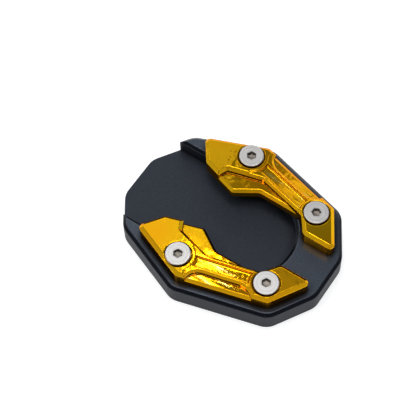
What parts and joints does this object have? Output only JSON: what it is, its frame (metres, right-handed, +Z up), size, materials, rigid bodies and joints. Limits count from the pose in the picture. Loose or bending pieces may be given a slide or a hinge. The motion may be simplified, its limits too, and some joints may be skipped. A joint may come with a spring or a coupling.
{
  "type": "kickstand foot enlarger",
  "caption": "Wide plate that screws to a motorcycle kickstand's foot: a many-sided base with a channel for the foot and milled clamps over it, to keep the stand from sinking into soft ground.",
  "frame": {"origin": "centre of the base plate's underside, on the ground", "axes": "+X along the stand's foot to its toe, +Y to the left clamp, +Z up from the ground"},
  "size_m": [0.11, 0.09, 0.0212],
  "materials": {
    "base_plate": "black anodised, fine satin",
    "clamp": "gold anodised, bright",
    "screw": "stainless steel, turned heads"
  },
  "bodies": {
    "root": {"base_plate": "base_plate", "left_clamp": "clamp", "right_clamp": "clamp", "clamp_screws": "screw"}
  },
  "joints": []
}
